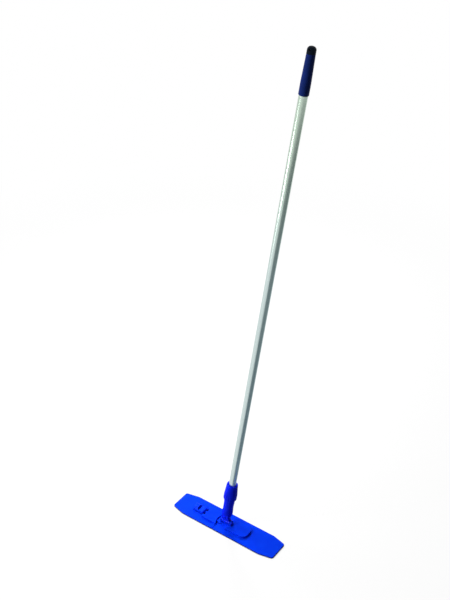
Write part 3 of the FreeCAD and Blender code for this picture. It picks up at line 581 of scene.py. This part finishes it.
@dataclass(frozen=True)
class PlatedSteel:
    """Zinc- or nickel-plated steel with turning marks."""

    name: str
    colour: Colour
    dull: Colour
    roughness: float
    bloom: float = 700.0
    marks: float = 1800.0
    polish: float = 0.06
    wear: float = 0.1
    grain: float = 4000.0
    grain_depth: float = 0.01 * MILLIMETRE

    def build(self) -> bpy.types.Material:
        """Makes the material.

        Returns:
            The finished material.
        """
        recipe = Recipe(self.name)
        bloom = recipe.between(recipe.noise(self.bloom, detail=4.0))
        marks = recipe.noise(self.marks)
        recipe.set(
            Base_Color=recipe.blend(bloom, self.colour, self.dull),
            Metallic=1.0,
            Roughness=recipe.worn(marks, self.roughness, self.polish, self.wear),
        )
        recipe.relief(recipe.noise(self.grain, detail=2.0), self.grain_depth, strength=0.5)
        return recipe.material


@dataclass(frozen=True)
class PaleSurface:
    """A matte pale surface that looks white, keeps the shadow on it and is dark under the mop.

    It glows only where it is looked at. On open ground near the mop the share of glow leaves
    room for the shadow, and far away it rises to 1 for the camera. In crevices and under the
    mop, where shade falls, it is painted a dark shade colour and doesn't glow.
    """

    name: str
    glow: float
    bounce: float
    shades: tuple[Colour, Colour] = ((0.94, 0.94, 0.94), (0.96, 0.96, 0.96))
    speckle: float = 40.0
    crevice: float = 50 * MILLIMETRE
    crevice_closed: float = 0.45
    crevice_open: float = 0.8
    samples: int = 8
    # The colour painted as shade in crevices and on the floor under the mop.
    painted_crevice_shade: Colour = (0.012, 0.014, 0.03)
    far_from: float = 0.9
    far_full: float = 3.0

    def build(self) -> bpy.types.Material:
        """Makes the material.

        Returns:
            The finished material.
        """
        recipe = Recipe(self.name)
        seen = recipe.seen()
        hidden = recipe.node("ShaderNodeAmbientOcclusion", Distance=self.crevice)
        hidden.samples = self.samples
        in_open = recipe.ramp(
            hidden.outputs["AO"], self.crevice_closed, self.crevice_open, 0.0, 1.0
        )
        speckle = recipe.between(recipe.noise(self.speckle, detail=5.0))
        pale = recipe.blend(speckle, *self.shades)
        # Painted shade: where the mop hides the floor, the pale colour turns to the dark shade
        # colour.
        shaded = recipe.blend(in_open, self.painted_crevice_shade, pale)
        recipe.set(
            Base_Color=recipe.blend(seen, (self.bounce,) * 3, shaded),
            Roughness=0.9,
            Specular_IOR_Level=0.1,
        )
        camera = recipe.node("ShaderNodeLightPath").outputs["Is Camera Ray"]
        whiter = recipe.ramp(recipe.reach(), self.far_from, self.far_full, 0.0, 1.0 - self.glow)
        glow = recipe.math("ADD", recipe.math("MULTIPLY", camera, whiter), self.glow)
        share = recipe.math("MULTIPLY", recipe.math("MULTIPLY", seen, in_open), glow)
        mix = recipe.node("ShaderNodeMixShader")
        glowing = recipe.node("ShaderNodeEmission", Strength=1.0)
        layers = (share, recipe.shader.outputs[0], glowing.outputs[0])
        for socket, layer in zip(mix.inputs, layers):
            recipe.feed(socket, layer)
        recipe.feed(recipe.output.inputs["Surface"], mix.outputs[0])
        return recipe.material


@dataclass(frozen=True)
class DarkCard:
    """The matte dark face of the card that paints a dark band into the metal's reflections, paler
    farther from the mop.
    """

    name: str
    colour: Colour
    far_colour: Colour
    near: float = 0.4
    far: float = 1.5
    clouds: float = 6.0
    cloud_share: float = 0.08

    def build(self) -> bpy.types.Material:
        """Makes the material.

        Returns:
            The finished material.
        """
        recipe = Recipe(self.name)
        paler = recipe.ramp(recipe.reach(), self.near, self.far, 0.0, 1.0)
        clouds = recipe.between(recipe.noise(self.clouds), -self.cloud_share, self.cloud_share)
        amount = recipe.math("ADD", paler, clouds)
        recipe.set(
            Base_Color=recipe.blend(amount, self.colour, self.far_colour),
            Roughness=1.0,
            Specular_IOR_Level=0.0,
        )
        return recipe.material


Finish = MouldedPlastic | DrawnTube | PlatedSteel | PaleSurface | DarkCard

BLUE = MouldedPlastic(
    name="royal_blue_handle_plastic",
    colour=(0.001, 0.016, 0.9),
    deep=(0.001, 0.012, 0.82),
    roughness=0.42,
    grain=2600.0,
    depth=0.03 * MILLIMETRE,
    gloss=0.06,
    seam=True,
)
JOINT_BLUE = MouldedPlastic(
    name="royal_blue_joint_plastic",
    colour=(0.001, 0.03, 0.9),
    deep=(0.001, 0.022, 0.84),
    roughness=0.3,
    grain=2600.0,
    depth=0.02 * MILLIMETRE,
    gloss=0.25,
)
FRAME_BLUE = MouldedPlastic(
    name="royal_blue_frame_plastic",
    colour=(0.0005, 0.042, 0.8),
    deep=(0.0005, 0.034, 0.76),
    roughness=0.44,
    grain=2600.0,
    depth=0.03 * MILLIMETRE,
    gloss=0.08,
    pattern=Pattern.BRUSHED,
    # Dark navy painted shade on the plate's side walls near the floor.
    painted_rim_shade=(0.001, 0.008, 0.22),
)
NAVY = MouldedPlastic(
    name="navy_grip_plastic",
    colour=(0.01, 0.03, 0.21),
    deep=(0.008, 0.024, 0.16),
    roughness=0.4,
    grain=1900.0,
    depth=0.04 * MILLIMETRE,
    gloss=0.06,
    pattern=Pattern.STIPPLE,
)
BLACK = MouldedPlastic(
    name="black_cap_plastic",
    colour=(0.002, 0.008, 0.02),
    deep=(0.002, 0.006, 0.014),
    roughness=0.45,
    grain=2200.0,
    depth=0.03 * MILLIMETRE,
    gloss=0.08,
)
ALUMINIUM = DrawnTube(
    name="drawn_aluminium",
    colour=(0.6, 0.7, 0.69),
    line_colour=(0.54, 0.64, 0.63),
    held_colour=(0.55, 0.67, 0.57),
    roughness=0.27,
    lines=1600.0,
)
STEEL = PlatedSteel(
    name="zinc_plated_steel",
    colour=(0.55, 0.56, 0.58),
    dull=(0.42, 0.43, 0.46),
    roughness=0.3,
)
NICKEL = PlatedSteel(
    name="nickel_plated_magnet",
    colour=(0.6, 0.58, 0.54),
    dull=(0.5, 0.48, 0.45),
    roughness=0.2,
)
FLOOR = PaleSurface(name="pale_floor", glow=0.9, bounce=0.25)
# The card's face paints a dark reflection band on the pole.
CARD = DarkCard(name="painted_reflection_card", colour=(0.2, 0.26, 0.3), far_colour=(0.5, 0.6, 0.62))


# ---------------------------------------------------------------- sub-assemblies


@dataclass
class CrossScrews:
    """The four countersunk screws below the joint bracket, each with a cross recess in its head."""

    node: str = "bracket_screws"
    body: str = "frame"
    head_radius: float = 3.5 * MILLIMETRE
    head_height: float = 2.2 * MILLIMETRE
    crown: float = 0.7 * MILLIMETRE
    shank_radius: float = 1.75 * MILLIMETRE
    recess_radius: float = 1.9 * MILLIMETRE
    recess_width: float = 0.75 * MILLIMETRE
    recess_depth: float = 1.3 * MILLIMETRE
    recess_taper: float = 0.62
    point: float = 1.2 * MILLIMETRE
    point_share: float = 0.15
    thread_turns: int = 9
    thread_steps: Sequence[tuple[float, float]] = ((0.8, 0.3), (1.0, 0.35), (1.0, 0.35))
    twist: float = math.radians(37)
    weld: float = 0.001 * MILLIMETRE

    def face(self, shape: Shape) -> None:
        """Makes the head's face: a disc whose middle is divided for the cross.

        Args:
            shape: the bmesh that gets the face, in the plane z = 0.
        """
        cells = 5
        half = cells / 2
        grid = bmesh.ops.create_grid(shape, x_segments=cells, y_segments=cells, size=half)
        flat_radius = self.head_radius - self.crown
        steps = (-flat_radius, -self.recess_radius, -self.recess_width / 2)
        places = (*steps, *(-step for step in reversed(steps)))
        for vertex in grid["verts"]:
            column, row = (round(value + half) for value in vertex.co.xy)
            vertex.co.x, vertex.co.y = places[column], places[row]
            if {column, row} & {0, cells}:
                vertex.co = vertex.co.normalized() * flat_radius

    def recess(self, shape: Shape) -> None:
        """Sinks the cross into the head's face, narrowing with its depth.

        Args:
            shape: the bmesh with the head's face.
        """
        half = self.recess_width / 2
        cross = []
        for face in shape.faces:
            middle = face.calc_center_median()
            near, far = sorted((abs(middle.x), abs(middle.y)))
            if near < half and far < self.recess_radius:
                cross.append(face)
        sunk = bmesh.ops.extrude_face_region(shape, geom=cross)
        floor = [item for item in sunk["geom"] if isinstance(item, bmesh.types.BMVert)]
        taper = Vector((self.recess_taper, self.recess_taper, 1.0))
        bmesh.ops.scale(shape, verts=floor, vec=taper)
        bmesh.ops.translate(shape, verts=floor, vec=Vector((0, 0, -self.recess_depth)))
        bmesh.ops.delete(shape, geom=cross, context="FACES_ONLY")

    def lengthen(
        self, shape: Shape, edges: list[bmesh.types.BMEdge], radius: float, drop: float
    ) -> list[bmesh.types.BMEdge]:
        """Continues the screw's side from an open ring to a new ring below it.

        Args:
            shape: the bmesh.
            edges: the open ring.
            radius: the new ring's radius.
            drop: how far below it is.

        Returns:
            The new ring's edges.
        """
        grown = bmesh.ops.extrude_edge_only(shape, edges=edges)["geom"]
        ring = [item for item in grown if isinstance(item, bmesh.types.BMVert)]
        for vertex in ring:
            level = vertex.co.z - drop
            vertex.co = Vector((vertex.co.x, vertex.co.y, 0.0)).normalized() * radius
            vertex.co.z = level
        return [item for item in grown if isinstance(item, bmesh.types.BMEdge)]

    def screw(self, length: float) -> Shape:
        """Makes one screw with its head's face at the origin, looking up.

        Args:
            length: the whole screw's length.

        Returns:
            The screw.
        """
        shape = bmesh.new()
        self.face(shape)
        rim = [edge for edge in shape.edges if edge.is_boundary]
        self.recess(shape)
        rim = [edge for edge in rim if edge.is_valid]
        rim = self.lengthen(shape, rim, self.head_radius, self.crown)
        rim = self.lengthen(shape, rim, self.head_radius, self.head_height - self.crown)
        rim = self.lengthen(shape, rim, self.shank_radius, 0.0)
        thread = length - self.head_height - self.point
        pitch = thread / self.thread_turns
        for radius_share, pitch_share in tuple(self.thread_steps) * self.thread_turns:
            rim = self.lengthen(shape, rim, radius_share * self.shank_radius, pitch_share * pitch)
        rim = self.lengthen(shape, rim, self.point_share * self.shank_radius, self.point)
        bmesh.ops.holes_fill(shape, edges=rim, sides=0)
        bmesh.ops.remove_doubles(shape, verts=shape.verts, dist=self.weld)
        bmesh.ops.recalc_face_normals(shape, faces=shape.faces)
        return shape

    def build(self, materials: dict[str, bpy.types.Material]) -> bpy.types.Object:
        """Sets a screw at each corner of the node's box and lets them stand for the node.

        Args:
            materials: the built materials by finish name.

        Returns:
            The piece with the four screws.
        """
        low, high = (Vector(corner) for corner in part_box(self.node))
        group = bmesh.new()
        mesh = bpy.data.meshes.new("one_screw")
        for x in (low.x + self.head_radius, high.x - self.head_radius):
            for y in (low.y + self.head_radius, high.y - self.head_radius):
                screw = self.screw(high.z - low.z)
                turn = Matrix.Rotation(self.twist * (1 + x / low.x), 4, "Z")
                place = Matrix.Translation((x, y, low.z)) @ Matrix.Rotation(math.pi, 4, "X") @ turn
                bmesh.ops.transform(screw, matrix=place, verts=screw.verts)
                screw.to_mesh(mesh)
                screw.free()
                group.from_mesh(mesh)
        bpy.data.meshes.remove(mesh)
        piece = object_from(group, "cross_screws", materials[STEEL.name])
        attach(piece, self.body)
        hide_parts(self.node)
        LOG.info("%s stand for %s", piece.name, self.node)
        return piece


@dataclass
class CoilSpring:
    """The pedal's return spring, of round wire, which the pedal's lever presses together."""

    node: str = "return_spring"
    body: str = "folding_wing"
    joint: str = "pedal_press"
    wire_radius: float = 0.35 * MILLIMETRE
    wire_sides: int = 12
    turns: int = 3
    steps_per_turn: int = 28
    pressed_share: float = 0.5

    def coil(self, low: Vector, high: Vector) -> Shape:
        """Winds the wire inside a box.

        Args:
            low: the box's lower corner.
            high: the box's upper corner.

        Returns:
            The coil.
        """
        middle = (low + high) / 2
        coil_radius = (high.x - low.x) / 2 - self.wire_radius
        rise = high.z - low.z - 2 * self.wire_radius
        steps = self.turns * self.steps_per_turn
        start = Vector((middle.x + coil_radius, middle.y, low.z + self.wire_radius))
        upright = Matrix.Translation(start) @ Matrix.Rotation(math.pi / 2, 4, "X")
        shape = bmesh.new()
        bmesh.ops.create_circle(
            shape, segments=self.wire_sides, radius=self.wire_radius, matrix=upright
        )
        bmesh.ops.spin(
            shape,
            geom=shape.verts[:] + shape.edges[:],
            cent=middle,
            axis=Vector((0, 0, 1)),
            dvec=Vector((0, 0, rise / steps)),
            angle=math.tau * self.turns,
            steps=steps,
        )
        ends = [edge for edge in shape.edges if edge.is_boundary]
        bmesh.ops.holes_fill(shape, edges=ends, sides=0)
        bmesh.ops.recalc_face_normals(shape, faces=shape.faces)
        return shape

    def build(self, materials: dict[str, bpy.types.Material]) -> bpy.types.Object:
        """Makes the spring, which stands for the node.

        Args:
            materials: the built materials by finish name.

        Returns:
            The piece.
        """
        low, high = (Vector(corner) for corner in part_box(self.node))
        piece = object_from(self.coil(low, high), "round_wire_spring", materials[STEEL.name])
        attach(piece, self.body)
        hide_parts(self.node)
        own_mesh(piece)
        LOG.info("%s stands for %s", piece.name, self.node)
        return piece


@dataclass
class SubAssembly:
    """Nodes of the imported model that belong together, each with its finish."""

    name: str
    finishes: dict[str, Finish] = field(default_factory=dict)

    def dress(self, materials: dict[str, bpy.types.Material]) -> None:
        """Gives each node its finish.

        Args:
            materials: the built materials by finish name.
        """
        for node, finish in self.finishes.items():
            mesh = frame["nodes"][node].data
            mesh.materials.clear()
            mesh.materials.append(materials[finish.name])
            LOG.info("%s: %s in %s", self.name, node, finish.name)


# ---------------------------------------------------------------- studio


@dataclass(frozen=True)
class Viewpoint:
    """The camera: its angles round the mop, in degrees, and where its axis passes the frame."""

    azimuth: float = 36.04
    elevation: float = 31.25
    distance: float = 2.97084
    aside: float = -0.00913
    above: float = 0.7394
    plate_height: float = 5 * MILLIMETRE
    focal_length: float = 54.0
    clip_end: float = 50.0

    def make(self) -> bpy.types.Object:
        """Makes the camera and sets it as the scene's camera.

        Returns:
            The camera.
        """
        back = direction_to(self.azimuth, self.elevation)
        across = math.radians(self.azimuth)
        right = Vector((math.cos(across), math.sin(across), 0.0))
        up = back.cross(right)
        aimed = Vector((0, 0, self.plate_height))
        data = bpy.data.cameras.new("view")
        data.lens = self.focal_length
        data.clip_end = self.clip_end
        camera = bpy.data.objects.new("view", data)
        camera.location = back * self.distance + right * self.aside + up * self.above + aimed
        camera.rotation_mode = "QUATERNION"
        camera.rotation_quaternion = Matrix((right, up, back)).transposed().to_quaternion()
        bpy.context.collection.objects.link(camera)
        bpy.context.scene.camera = camera
        return camera


@dataclass(frozen=True)
class SoftLamp:
    """A large rectangular lamp: its angles round the mop, in degrees, its size and its aim.

    The aim is how high up the mop it points, as a share of the mop's height. Shiny surfaces
    mirror the lamp only when mirrored is set.
    """

    name: str
    azimuth: float
    elevation: float
    distance: float
    width: float
    height: float
    watts: float
    aim: float = 0.5
    mirrored: bool = True

    def make(self, foot: Vector, mop_height: float) -> bpy.types.Object:
        """Makes the lamp and points it at the mop.

        Args:
            foot: the place on the floor under the joint.
            mop_height: how tall the mop is.

        Returns:
            The lamp.
        """
        target = foot + Vector((0, 0, self.aim * mop_height))
        data = bpy.data.lights.new(self.name, "AREA")
        data.shape = "RECTANGLE"
        data.size = self.width
        data.size_y = self.height
        data.energy = self.watts
        lamp = bpy.data.objects.new(self.name, data)
        lamp.visible_glossy = self.mirrored
        lamp.visible_camera = False
        away = direction_to(self.azimuth, self.elevation)
        lamp.location = target + away * self.distance
        lamp.rotation_mode = "QUATERNION"
        lamp.rotation_quaternion = away.to_track_quat("Z", "Y")
        bpy.context.collection.objects.link(lamp)
        return lamp


@dataclass(frozen=True)
class Flag:
    """A dark card on the floor that only reflections see, painting a dark reflection band on the
    metal: a fan between two angles, in degrees.
    """

    start: float
    end: float
    reach: float
    height: float = 4 * MILLIMETRE
    steps: int = 24

    def lay(self, centre: Vector, material: bpy.types.Material) -> bpy.types.Object:
        """Lays the card.

        Args:
            centre: the fan's tip.
            material: the card's face.

        Returns:
            The card.
        """
        shape = bmesh.new()
        vertex = shape.verts.new(centre + direction_to(self.start) * self.reach)
        bmesh.ops.spin(
            shape,
            geom=[vertex],
            cent=centre,
            axis=Vector((0, 0, 1)),
            angle=math.radians(self.end) - math.radians(self.start),
            steps=self.steps,
            use_duplicate=False,
        )
        rim = list(shape.edges)
        tip = shape.verts.new(centre)
        for rim_edge in rim:
            shape.faces.new((*rim_edge.verts, tip))
        bmesh.ops.recalc_face_normals(shape, faces=shape.faces)
        bmesh.ops.translate(shape, verts=shape.verts, vec=Vector((0, 0, self.height)))
        card = object_from(shape, "painted_reflection_band", material)
        # Seen only in reflections and casting no shadow, the card paints a dark band on the metal.
        for kind in ("camera", "diffuse", "transmission", "volume_scatter", "shadow"):
            setattr(card, f"visible_{kind}", False)
        card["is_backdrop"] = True
        return card


@dataclass
class Studio:
    """Pale floor, soft lamps, a dark card that paints a dark band into reflections, and a world
    that is white behind the mop.
    """

    floor_size: float = 60.0
    floor_gap: float = 0.05 * MILLIMETRE
    ambient: float = 0.08
    sky: Colour = (1.0, 1.0, 1.0)
    # Painted reflection: a dark fan that only the metal's reflections see.
    painted_reflection_band: Flag = Flag(start=27, end=150, reach=3.0)
    lamps: Sequence[SoftLamp] = (
        SoftLamp("left", -38, 25, 2.4, 0.9, 1.2, watts=40.0, aim=0.3, mirrored=False),
        SoftLamp("back", -138, 33, 2.4, 0.7, 0.7, watts=56.0, aim=0.05, mirrored=False),
        SoftLamp("top", -90, 76, 2.6, 1.6, 1.6, watts=2.0),
        SoftLamp("left_end", -88, 40, 0.95, 0.4, 0.4, watts=6.0, aim=0.0, mirrored=False),
        SoftLamp("left_shine", -132, 27, 0.92, 0.35, 0.35, watts=0.12, aim=0.0),
        SoftLamp("edge_shine", -36, 30, 1.6, 0.5, 0.3, watts=4.5, aim=0.0),
    )

    def lay_floor(self, material: bpy.types.Material) -> bpy.types.Object:
        """Lays a large pale floor just under the mop.

        Args:
            material: the floor's material.

        Returns:
            The floor.
        """
        shape = bmesh.new()
        bmesh.ops.create_grid(shape, x_segments=1, y_segments=1, size=self.floor_size / 2)
        bmesh.ops.translate(shape, verts=shape.verts, vec=Vector((0, 0, -self.floor_gap)))
        floor = object_from(shape, "floor", material)
        floor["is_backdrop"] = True
        return floor

    def light_world(self) -> None:
        """Makes the world, white where it is looked at and a plain soft level for other light."""
        world = bpy.data.worlds.new("soft_white")
        bpy.context.scene.world = world
        world.use_nodes = True
        graph = Graph(world.node_tree)
        level = graph.node(
            "ShaderNodeMapRange", Value=graph.seen(), To_Min=self.ambient, To_Max=1.0
        )
        light = graph.node(
            "ShaderNodeBackground", Color=(*self.sky, 1.0), Strength=level.outputs[0]
        )
        graph.node("ShaderNodeOutputWorld", Surface=light.outputs[0])

    def build(
        self, materials: dict[str, bpy.types.Material], foot: Vector, mop_height: float
    ) -> None:
        """Sets up the floor, the card, the world and the lamps.

        Args:
            materials: the built materials by finish name.
            foot: the place on the floor under the joint.
            mop_height: how tall the mop is.
        """
        self.lay_floor(materials[FLOOR.name])
        self.painted_reflection_band.lay(foot, materials[CARD.name])
        self.light_world()
        for lamp in self.lamps:
            lamp.make(foot, mop_height)


def main() -> None:
    """Builds the looks."""
    logging.basicConfig(level=logging.INFO, format="%(name)s %(message)s")
    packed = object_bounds()
    bpy.context.scene.view_settings.view_transform = "Standard"
    finishes = (BLUE, JOINT_BLUE, FRAME_BLUE, NAVY, BLACK, ALUMINIUM, STEEL, NICKEL, FLOOR, CARD)
    materials = {finish.name: finish.build() for finish in finishes}
    groups = (
        SubAssembly(
            "wings",
            {
                "right_wing": FRAME_BLUE,
                "left_wing": FRAME_BLUE,
                "hinge_rod": STEEL,
            },
        ),
        SubAssembly(
            "latch",
            {
                "latch_strikes": STEEL,
                "latch_magnets": NICKEL,
                "foot_pedal": FRAME_BLUE,
                "pedal_pin": STEEL,
            },
        ),
        SubAssembly(
            "joint",
            {
                "joint_bracket": FRAME_BLUE,
                "tilt_pin": JOINT_BLUE,
                "tilt_clip": JOINT_BLUE,
                "tilt_washers": BLACK,
                "joint_knuckle": JOINT_BLUE,
                "swing_washers": BLACK,
                "swing_pin": BLUE,
                "swing_clip": BLUE,
            },
        ),
        SubAssembly(
            "handle",
            {
                "handle_socket": BLUE,
                "clamp_collar": BLUE,
                "pole_tube": ALUMINIUM,
                "pole_plug": BLACK,
                "grip_sleeve": NAVY,
                "end_cap": BLACK,
            },
        ),
    )
    for group in groups:
        group.dress(materials)
    CrossScrews().build(materials)
    CoilSpring().build(materials)
    foot = Vector((joint_place("handle_swing").x, 0.0, 0.0))
    Studio().build(materials, foot, packed[1].z)
    Viewpoint().make()


if __name__ == "__main__":
    main()
